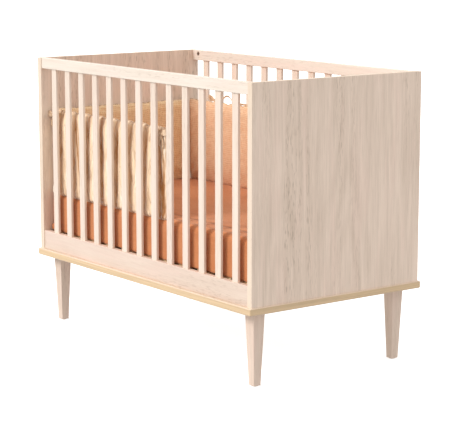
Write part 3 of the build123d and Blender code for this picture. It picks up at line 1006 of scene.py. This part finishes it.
@dataclass(frozen=True)
class Stuffing:
    """A short cloth simulation that swells a pad's cover over its filling."""

    pressure: float = 4.0
    frames: int = 20
    slack: float = 0.05  # extra cloth along the pad, which gathers into folds
    furthest: float = 5 * MM  # the most that a point moves
    quality: int = 5
    mass: float = 0.25
    stretch: float = 12
    shear: float = 5
    bend: float = 0.3

    def swell(self, piece: bpy.types.Object, run: Axis, pinned: list[int]) -> None:
        """Swells a pad, and leaves the result in its mesh.

        Args:
            piece: The pad.
            run: The axis that the pad runs along.
            pinned: The vertices of the seam round it, which stay where they are.
        """
        group = piece.vertex_groups.new(name="seam")
        group.add(pinned, 1.0, "REPLACE")
        count = len(piece.data.vertices)
        rest = np.empty(count * 3)
        piece.data.vertices.foreach_get("co", rest)
        rest = rest.reshape(-1, 3)
        piece.shape_key_add(name="Basis")
        cut = piece.shape_key_add(name="cut")
        wide = rest.copy()
        middle = rest[:, run.value].mean()
        wide[:, run.value] = middle + (rest[:, run.value] - middle) * (1 + self.slack)
        cut.data.foreach_set("co", wide.ravel())
        cloth = piece.modifiers.new("cloth", "CLOTH")
        made = cloth.settings
        made.quality = self.quality
        made.mass = self.mass
        made.tension_stiffness = made.compression_stiffness = self.stretch
        made.shear_stiffness = self.shear
        made.bending_stiffness = self.bend
        made.use_pressure = True
        made.uniform_pressure_force = self.pressure
        made.vertex_group_mass = group.name
        made.rest_shape_key = cut
        made.effector_weights.gravity = 0
        cloth.point_cache.frame_end = self.frames
        scene = bpy.context.scene
        for number in range(1, self.frames + 1):
            scene.frame_set(number)
        shown = piece.evaluated_get(bpy.context.evaluated_depsgraph_get())
        moved = np.empty(count * 3)
        shown.data.vertices.foreach_get("co", moved)
        scene.frame_set(1)
        piece.modifiers.clear()
        piece.shape_key_clear()
        piece.vertex_groups.clear()
        move = moved.reshape(-1, 3) - rest
        length = np.linalg.norm(move, axis=1, keepdims=True)
        log.info("%s swelled by %.1f mm at most", piece.name, length.max() / MM)
        share = self.furthest * np.tanh(length / self.furthest) / np.maximum(length, TINY)
        capped = move * share
        piece.data.vertices.foreach_set("co", (rest + capped).ravel())
        piece.data.update()


@dataclass
class Bumper:
    """A padded bumper: satin outside, waffle cotton inside, corded round its seam."""

    name: str
    node: str
    body: str
    run: Axis
    outward: int  # the way its outer face looks along the axis across it
    palette: Palette
    inside: Waffle
    HEM: ClassVar[float] = 0.26  # the share of the height that the hems' gathers take
    LONG_SWAY: ClassVar[tuple[float, float]] = (6, 9 * MM)  # how often and how far folds sway
    SHORT_SWAY: ClassVar[tuple[float, float]] = (19, 3 * MM)
    folds: float = 8.0 * MM  # how deep the satin's folds are
    overhang: float = 10 * MM  # how far its lower edge hangs below the mattress's top
    seed: float = 0.0
    valleys: tuple[float, ...] = ()  # where along the pad the satin's deep folds lie
    pulls: tuple[tuple[float, float, float], ...] = ()  # slanting folds: top, bottom, strength
    crease: float = 7 * MM
    corner: float = 16 * MM
    edge: float = 14 * MM
    step: float = 6 * MM
    cord: float = 2.2 * MM
    clearance: float = 3.2 * MM  # how far a fold may stand proud of the plain pad
    skin: float = 2.0 * MM  # how much thinner than its solid the pad starts, on each side
    sink: float = 2.6 * MM  # how far the upper edge lies below its solid's
    unevenness: float = 2.2 * MM
    notch: tuple[float, float] = (4.5 * MM, 11 * MM)  # how a deep fold dips the upper edge
    gather: float = 19 * MM  # from one gather of the hems to the next
    tied: tuple[float, float] = (62 * MM, 17 * MM)  # the crinkled end's length and its pitch
    flare: tuple[float, float] = (7 * MM, 40 * MM)  # how the lower edge leans out, and from where
    inside_relief: float = 1.6 * MM
    lap: float = 30 * MM  # how high above the mattress the pad may lean inwards
    ease: float = 2 * MM  # how gently it is held back
    stuffing: Stuffing = Stuffing()

    def __post_init__(self) -> None:
        """Takes the pad's sizes from its plain solid."""
        low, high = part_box(self.node)
        across = 1 - self.run.value
        self.start, self.end = low[self.run.value], high[self.run.value]
        self.low, self.high = low.z - self.overhang, high.z
        self.plane = (low[across] + high[across]) / 2
        self.half = (high[across] - low[across]) / 2

    def place(self, along: float, height: float, out: float) -> Vector:
        """Turns the pad's own measures into a place in the frame.

        Args:
            along: The place along the pad.
            height: The height above the floor.
            out: How far outwards of the pad's middle plane.

        Returns:
            The place.
        """
        point = Vector((0, 0, height))
        point[self.run.value] = along
        point[1 - self.run.value] = self.plane + self.outward * out
        return point

    def outline(self, along: float, height: float) -> tuple[float, float]:
        """Moves a grid's point so that the pad's corners are round and its edges a little uneven.

        Args:
            along: The place along the pad.
            height: The height.

        Returns:
            The moved place and height.
        """
        core_along = min(max(along, self.start + self.corner), self.end - self.corner)
        core_height = min(max(height, self.low + self.corner), self.high - self.corner)
        da, dh = along - core_along, height - core_height
        if da and dh:
            shrink = max(abs(da), abs(dh)) / math.hypot(da, dh)
            along, height = core_along + da * shrink, core_height + dh * shrink
        share = (height - self.low) / (self.high - self.low)
        dip = self.unevenness * ripple((along, 0, 0), 9, self.seed) - self.sink
        deep, wide = self.notch
        for line in self.valleys:
            dip -= deep * math.exp(-((along - line) / wide) ** 2)
        return along, height + dip * share ** 8

    def satin_fold(self, along: float, height: float) -> float:
        """Gives the shape of the satin's upright folds, which puff out between the slats.

        Args:
            along: The place along the pad.
            height: The height.

        Returns:
            The depth of the fold there, from about -1 in a valley to 0 on a ridge.
        """
        share = (height - self.low) / (self.high - self.low)
        depth = 0.0
        for number, line in enumerate(self.valleys):
            often, far = self.LONG_SWAY
            sway = ripple((number * 0.9, 0, height), often, self.seed) * far
            often, far = self.SHORT_SWAY
            sway += ripple((number * 0.4, 0, height), often, self.seed + 3) * far
            away = along - line - sway
            strength = 0.75 + 0.4 * ripple((number * 0.37, 0, height * 0.4), 4, self.seed + 6)
            crease = math.exp(-(away / self.crease) ** 2)
            valley = math.exp(-(away / (3.4 * self.crease)) ** 2)
            depth += strength * (0.5 * crease + 0.5 * valley)
        for top, bottom, strength in self.pulls:
            sway = 3 * MM * ripple((0, 0, height), 14, top * 50)
            away = along - (bottom + (top - bottom) * share) - sway
            fading = min(1.0, 6 * share, 6 * (1 - share))
            depth += strength * math.exp(-(away / (0.7 * self.crease)) ** 2) * fading
        slack = 1 - abs(ripple((along, 0, height * 0.28), 23, self.seed + 5)) * 3
        depth += 0.28 * max(0.0, slack) ** 2
        hem = max(0.0, abs(2 * share - 1) - (1 - self.HEM)) / self.HEM
        gathers = (1 - abs(math.sin(math.pi * along / self.gather))) * hem * 0.5
        return -min(1.15, depth * (1 - 0.5 * hem) + gathers)

    def crush(self, along: float, height: float) -> float:
        """Gives the crinkles near the pad's free end, where the tie draws the satin together.

        Args:
            along: The place along the pad.
            height: The height.

        Returns:
            The crinkles' height there, about -1 to 1.
        """
        length, pitch = self.tied
        near = max(0.0, 1 - (self.end - along) / length) ** 0.6
        lean = 10 * MM * ripple((along, 0, height), 9, self.seed + 2)
        lines = 1 - 2 * abs(math.sin(math.pi * (along + lean) / pitch))
        crumple = noise.fractal(Vector((along * 30, self.seed, height * 11)), 0.7, 2.2, 4)
        return near * (0.6 * lines + crumple)

    def thickness(self, along: float, height: float) -> float:
        """Gives half the plain pad's thickness at a point.

        Args:
            along: The place along the pad.
            height: The height.

        Returns:
            Half the thickness.
        """
        reach = min(along - self.start, self.end - along, height - self.low, self.high - height)
        rise = min(1.0, max(0.0, reach / self.edge))
        return (self.half - self.skin) * math.sqrt(1 - (1 - rise) ** 2)

    def point(self, cover: Cover, along: float, height: float) -> tuple[Vector, float]:
        """Works out where a point of a cover lies.

        Args:
            cover: The cover.
            along: The place along the pad.
            height: The height.

        Returns:
            The point, and how high it is in the folds, from 0 in a valley to 1 on a ridge.
        """
        sign = 1 if cover is Cover.OUTSIDE else -1
        out = sign * self.thickness(along, height)
        blend = abs(out) / self.half
        fold = 0.0
        if cover is Cover.OUTSIDE:
            fold = self.satin_fold(along, height) + 0.8 * self.crush(along, height)
            out += self.folds * fold * blend
        else:
            out += self.inside_relief * blend * ripple((along, 0, height), 11, self.seed + 9)
        lean, rise = self.flare
        out += (1 - min(1.0, (height - self.low) / rise)) * lean
        return self.place(*self.outline(along, height), out), min(1.0, max(0.0, 1 + fold))

    def pad(self) -> tuple[bpy.types.Object, list[Vector], list[int]]:
        """Builds the plain, folded cover.

        Returns:
            The cover, the places round its seam in order, and the seam's vertices.
        """
        rim = tuple(self.edge * share for share in (0, 0.1, 0.3, 0.6, 1.0))
        lines = spaced(self.start, self.end, self.step, rim)
        rows = spaced(self.low, self.high, self.step, rim)
        mesh = bmesh.new()
        folds = mesh.verts.layers.float.new("fold")
        grids: dict[Cover, list[list[bmesh.types.BMVert]]] = {}
        last_line, last_row = len(lines) - 1, len(rows) - 1
        for cover in Cover:
            grid = []
            for i, along in enumerate(lines):
                column = []
                for j, height in enumerate(rows):
                    if cover is Cover.INSIDE and (i in (0, last_line) or j in (0, last_row)):
                        column.append(grids[Cover.OUTSIDE][i][j])
                        continue
                    place, fold = self.point(cover, along, height)
                    vertex = mesh.verts.new(place)
                    # the fold height, which the satin's painted shade and highlight follow
                    vertex[folds] = fold
                    column.append(vertex)
                grid.append(column)
            grids[cover] = grid
            for i in range(last_line):
                for j in range(last_row):
                    quad = [grid[i][j], grid[i + 1][j], grid[i + 1][j + 1], grid[i][j + 1]]
                    face = mesh.faces.new(quad)
                    face.material_index = cover.value
        bmesh.ops.recalc_face_normals(mesh, faces=mesh.faces)
        mesh.verts.index_update()
        outer = grids[Cover.OUTSIDE]
        ring = [outer[i][0] for i in range(last_line)]
        ring += [outer[last_line][j] for j in range(last_row)]
        ring += [outer[i][last_row] for i in range(last_line, 0, -1)]
        ring += [outer[0][j] for j in range(last_row, 0, -1)]
        seam = [vertex.co.copy() for vertex in ring]
        pinned = [vertex.index for vertex in ring]
        return to_object(mesh, self.name), seam, pinned

    def hold_back(self, piece: bpy.types.Object) -> None:
        """Keeps the swelled cover inside the room that the pad has.

        Args:
            piece: The pad.
        """
        across = 1 - self.run.value
        most = self.half + self.clearance
        for vertex in piece.data.vertices:
            out = (vertex.co[across] - self.plane) * self.outward
            free = most - self.ease
            if out > free:
                out = free + self.ease * math.tanh((out - free) / self.ease)
            if vertex.co.z > self.low + self.overhang + self.lap:
                out = max(out, -most)
            vertex.co[across] = self.plane + self.outward * out
        piece.data.update()

    def make(self) -> None:
        """Builds and dresses the pad and its cord."""
        piece, seam, pinned = self.pad()
        self.stuffing.swell(piece, self.run, pinned)
        self.hold_back(piece)
        finer = piece.modifiers.new("finer", "SUBSURF")
        finer.levels = finer.render_levels = 1
        apply_modifiers(piece)
        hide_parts(self.node)
        cloths = [self.palette.of(self.palette.satin), self.palette.of(self.inside)]
        settle(piece, self.body, cloths)
        cord = tube(self.name + "_cord", seam, self.cord, True)
        settle(cord, self.body, [self.palette.of(self.palette.ribbon)])


@dataclass
class Bow:
    """A satin ribbon tied in a bow, flat against a bumper."""

    bumper: Bumper
    along: float
    height: float
    out: float
    width: float = 13 * MM
    loop: float = 30 * MM
    tail: float = 48 * MM
    seed: float = 0.0
    trailing: bool = False  # one end runs on along the pad's upper edge
    cloth: float = 0.5 * MM
    cup: float = 0.36 * MM  # how much the ribbon curls across its width
    finer: int = 7  # smooth steps from one point to the next
    LOOP: ClassVar[tuple[tuple[float, float, float, float], ...]] = (
        (0, 0, 0.4, 0.35), (0.35, 0.22, 0.8, 0.8), (1, 0.34, 1.0, 1), (1.06, 0.26, 1.8, 1),
        (0.9, 0.05, 2.4, 1), (0.35, -0.04, 2.4, 0.8), (0, 0, 1.8, 0.35),
    )  # shares of the loop sideways and up, millimetres outwards, and the share of the width
    END: ClassVar[tuple[tuple[float, float, float, float], ...]] = (
        (0, 0, 1.2, 0.35), (0.12, 0.3, 1.0, 0.8), (0.34, 0.62, 1.7, 0.9), (0.3, 1, 0.9, 0.9),
    )
    SHORTER: ClassVar[float] = 0.85  # the left end against the right one
    TRAIL: ClassVar[tuple[tuple[int, int, int, int], ...]] = (
        (0, 0, 0, 5), (30, 4, 1, 8), (58, 12, 0, 8), (72, 19, -2, 7), (86, 21, -3, 7),
        (98, 17, -2, 7), (110, 7, 0, 8), (150, -2, 2, 8), (190, -3, 1, 8), (226, -12, 4, 10),
    )  # millimetres: sideways, up, out, and the ribbon's width
    KNOT: ClassVar[tuple[tuple[float, float, float, float], ...]] = (
        (-4, 3, 1.4, 8), (-2, 0.5, 3.0, 9), (2, -0.5, 3.0, 9), (4, -3, 1.4, 8),
    )

    def strip(self, mesh: bmesh.types.BMesh, points: list[tuple[float, float, float]],
              widths: list[float]) -> None:
        """Adds a ribbon along points, smoothly.

        Args:
            mesh: The bow's mesh.
            points: Places along it: sideways, upwards and outwards of the knot.
            widths: Its width at each point.
        """
        path = np.array(points)
        count = len(path)
        fine = np.linspace(0, count - 1, (count - 1) * self.finer + 1)
        smooth = np.empty((len(fine), 4))
        data = np.column_stack([path, widths])
        for row, at in enumerate(fine):
            k = min(int(at), count - 2)
            t = at - k
            p0, p1, p2, p3 = (data[min(max(k + n, 0), count - 1)] for n in (-1, 0, 1, 2))
            smooth[row] = 0.5 * (2 * p1 + (p2 - p0) * t + (2 * p0 - 5 * p1 + 4 * p2 - p3) * t * t
                                 + (3 * p1 - p0 - 3 * p2 + p3) * t ** 3)
        rows = []
        heading = smooth[len(smooth) // 2, :2] - smooth[0, :2]
        side = np.array([-heading[1], heading[0]]) / max(np.hypot(*heading), TINY)
        for number, (sideways, up, out, width) in enumerate(smooth):
            curl = self.cup * math.sin(number * 0.55 + self.seed)
            row = []
            for share in (-0.5, -0.25, 0, 0.25, 0.5):
                along = self.along + sideways + side[0] * share * width
                height = self.height + up + side[1] * share * width
                lift = self.out + out + curl * math.cos(math.pi * share)
                row.append(mesh.verts.new(self.bumper.place(along, height, lift)))
            rows.append(row)
        for first, second in zip(rows, rows[1:]):
            for k in range(len(first) - 1):
                mesh.faces.new((first[k], first[k + 1], second[k + 1], second[k]))

    def line(self, mesh: bmesh.types.BMesh,
             points: tuple[tuple[float, float, float, float], ...]) -> None:
        """Adds a ribbon that is given in millimetres.

        Args:
            mesh: The bow's mesh.
            points: Sideways, upwards and outwards of the knot, and the width there.
        """
        places = [(sideways * MM, up * MM, out * MM) for sideways, up, out, _ in points]
        self.strip(mesh, places, [width * MM for *_, width in points])

    def make(self, name: str) -> bpy.types.Object:
        """Builds the bow.

        Args:
            name: The piece's name.

        Returns:
            The piece, without a finish.
        """
        mesh = bmesh.new()
        for way, length in ((-1, self.SHORTER * self.tail), (1, self.tail)):
            for shape, rise in ((self.LOOP, self.loop), (self.END, -length)):
                points = [(x * way * self.loop, z * rise, y * MM) for x, z, y, _ in shape]
                self.strip(mesh, points, [share * self.width for *_, share in shape])
        if self.trailing:
            self.line(mesh, self.TRAIL)
        self.line(mesh, self.KNOT)
        made = to_object(mesh, name)
        thicken(made, self.cloth, 0)
        return made


@dataclass
class BumperSet:
    """The three bumpers round the sleeping space, with their bows."""

    palette: Palette
    slat_count: int = 13
    bow_inset: float = 24 * MM
    bow_drop: float = 14 * MM
    bow_gap: float = 0.2 * MM

    def behind_slats(self, side: str, inset: float) -> tuple[float, ...]:
        """Finds where the satin is pressed in behind each slat of a side.

        Args:
            side: The side, front or back.
            inset: How far from a slat's right edge the fold lies.

        Returns:
            The folds' places along the cot.
        """
        slats = (f"{side}_slat_{number:02d}" for number in range(1, self.slat_count + 1))
        return tuple(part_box(slat)[1].x - inset for slat in slats)

    def bows(self, bumper: Bumper, node: str) -> None:
        """Ties a bumper's two bows, in place of their plain solids.

        Args:
            bumper: The bumper that they are on.
            node: The plain solids' node.
        """
        low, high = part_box(node)
        height, out = high.z - self.bow_drop, bumper.half + self.bow_gap
        for side, along in (("left", low.x + self.bow_inset), ("right", high.x - self.bow_inset)):
            bow = Bow(bumper, along, height, out, seed=along * 40)
            piece = bow.make(f"{bumper.name}_{side}_bow")
            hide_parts(node)
            settle(piece, bumper.body, [self.palette.of(self.palette.ribbon)])

    def make(self) -> None:
        """Builds and dresses the bumpers and their bows."""
        front = Bumper("front_bumper", "front_bumper_pad", "front_bumper", Axis.LENGTH, -1,
                       self.palette, self.palette.peach, seed=1.0,
                       valleys=self.behind_slats("front", 5 * MM), overhang=6 * MM,
                       pulls=((-0.432, -0.392, 0.9), (-0.418, -0.374, 0.6), (-0.155, -0.171, 0.4)))
        back = Bumper("back_bumper", "back_bumper_pad", "back_bumper", Axis.LENGTH, 1,
                      self.palette, self.palette.peach, seed=4.0,
                      valleys=self.behind_slats("back", 15 * MM), corner=8 * MM)
        # the end pad's inner face takes the copy of the peach waffle with painted warm bounce light
        end = Bumper("end_bumper", "end_bumper_pad", "end_bumper", Axis.DEPTH, -1,
                     self.palette, self.palette.bounce_tinted_waffle, seed=8.0,
                     valleys=(-0.21, -0.12, -0.01, 0.09, 0.2),
                     edge=7 * MM, corner=6 * MM, clearance=1 * MM)
        for bumper in (front, back, end):
            bumper.make()
        self.bows(front, "front_bumper_bows")
        self.bows(back, "back_bumper_bows")
        loose = Bow(back, -0.435, back.high + 5 * MM, -2 * MM,
                    loop=36 * MM, seed=2.0, trailing=True)
        piece = loose.make("back_bumper_upper_bow")
        settle(piece, back.body, [self.palette.of(self.palette.ribbon)])


# ---------------------------------------------------------------- the studio


@dataclass
class Studio:
    """A white floor, soft light from the front left, and the camera."""

    camera_place: tuple[float, float, float] = (4.5892, -3.3951, 1.4053)
    yaw: float = 0.9287
    pitch: float = 0.1697
    lens: float = 132.83
    sensor: float = 36.0
    furthest: float = 300.0  # the most that the camera sees, in metres
    floor_half: float = 70.0
    sun_way: tuple[float, float, float] = (0.26, 1.0, -0.78)
    sun_strength: float = 1.85
    sun_spread: float = 22.0  # degrees
    daylight: tuple[float, float, float] = (1.0, 0.985, 0.965)
    horizon: tuple[float, float] = (-0.2, 0.3)  # where the sky turns from below to above
    sky_above: float = 0.98
    sky_below: float = 0.58  # the light that the cot gets from the floor's side
    floor_glow: float = 0.58  # keeps the cot's shadow on the floor faint
    floor_tones: tuple[tuple[float, ...], ...] = ((0.93, 0.925, 0.92, 1), (0.95, 0.945, 0.94, 1))
    floor_glow_tone: tuple[float, ...] = (0.95, 0.98, 1, 1)
    floor_roughness: float = 0.9

    def camera(self) -> None:
        """Sets up the camera."""
        data = bpy.data.cameras.new("camera")
        data.lens = self.lens
        data.sensor_width = self.sensor
        data.clip_end = self.furthest
        camera = add_object("camera", data)
        camera.location = self.camera_place
        camera.rotation_euler = (math.pi / 2 - self.pitch, 0, self.yaw)
        bpy.context.scene.camera = camera

    def lights(self) -> None:
        """Sets up the sun and the sky."""
        data = bpy.data.lights.new("window_light", "SUN")
        data.energy = self.sun_strength
        data.angle = math.radians(self.sun_spread)
        data.color = self.daylight
        sun = add_object("window_light", data)
        sun.rotation_euler = Vector(self.sun_way).to_track_quat("-Z", "Y").to_euler()
        world = bpy.data.worlds.new("studio")
        world.use_nodes = True
        nodes, links = world.node_tree.nodes, world.node_tree.links
        sky = nodes["Background"]
        sky.inputs["Color"].default_value = (*self.daylight, 1)
        parts = nodes.new("ShaderNodeSeparateXYZ")
        links.new(nodes.new("ShaderNodeTexCoord").outputs["Generated"], parts.inputs[0])
        rise = nodes.new("ShaderNodeMapRange")
        names = ("From Min", "From Max", "To Min", "To Max")
        for key, value in zip(names, (*self.horizon, self.sky_below, self.sky_above)):
            rise.inputs[key].default_value = value
        links.new(parts.outputs["Z"], rise.inputs["Value"])
        links.new(rise.outputs["Result"], sky.inputs["Strength"])
        bpy.context.scene.world = world
        bpy.context.scene.view_settings.view_transform = "Standard"

    def floor(self) -> None:
        """Lays the floor."""
        mesh = bmesh.new()
        bmesh.ops.create_grid(mesh, x_segments=8, y_segments=8, size=self.floor_half)
        floor = to_object(mesh, "studio_floor")
        graph = Graph("studio_floor")
        colour = graph.mix(graph.cloud(graph.place, 3, 3), *self.floor_tones)
        graph.finish(colour, self.floor_roughness, graph.cloud(graph.place, 200), 0.02 * MM,
                     Emission_Color=self.floor_glow_tone, Emission_Strength=self.floor_glow)
        floor.data.materials.append(graph.material)
        floor.visible_diffuse = False

    def make(self) -> None:
        """Sets up the whole studio."""
        self.camera()
        self.lights()
        self.floor()


def main() -> None:
    """Builds the cot's looks round the frame."""
    logging.basicConfig(level=logging.INFO, format="%(name)s: %(message)s")
    palette = Palette()
    Studio().make()
    Timberwork(palette).dress()
    MattressSet(palette).make()
    BumperSet(palette).make()


if __name__ == "__main__":
    main()
